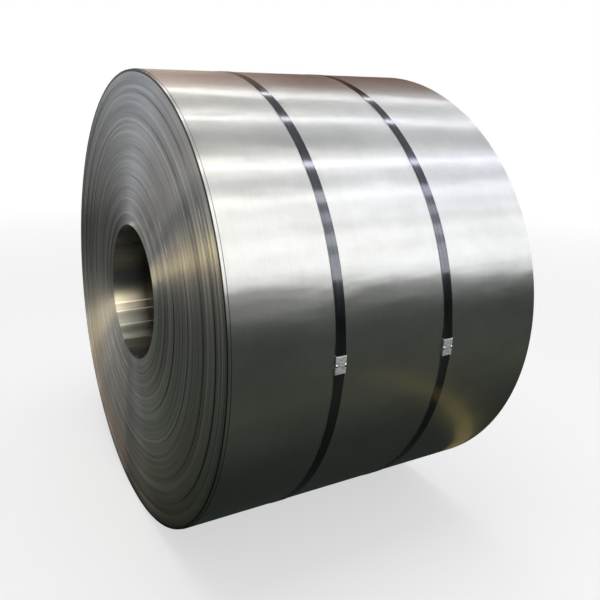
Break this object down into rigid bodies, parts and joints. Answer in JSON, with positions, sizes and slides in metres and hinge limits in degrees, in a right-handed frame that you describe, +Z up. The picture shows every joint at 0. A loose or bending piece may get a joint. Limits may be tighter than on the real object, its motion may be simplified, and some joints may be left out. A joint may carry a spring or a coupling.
{
  "type": "steel coil",
  "caption": "Wound coil of bright cold-rolled steel strip, lying on its side with its bore level, bound round the outside by flat steel straps with crimped seals.",
  "frame": {"origin": "on the floor, under the middle of the coil", "axes": "+X along the bore, away from the near end; -Y towards the side with the seals; +Z up"},
  "size_m": [1.149, 1.6707, 1.6657],
  "materials": {
    "strip_steel": "bright cold-rolled, faint marks along the rolling direction",
    "strap_steel": "blue-black, waxed, glossy",
    "seal_steel": "galvanised"
  },
  "bodies": {
    "root": {"coil": "strip_steel", "strap_near": "strap_steel", "strap_far": "strap_steel", "seal_near": "seal_steel", "seal_far": "seal_steel"}
  },
  "joints": []
}
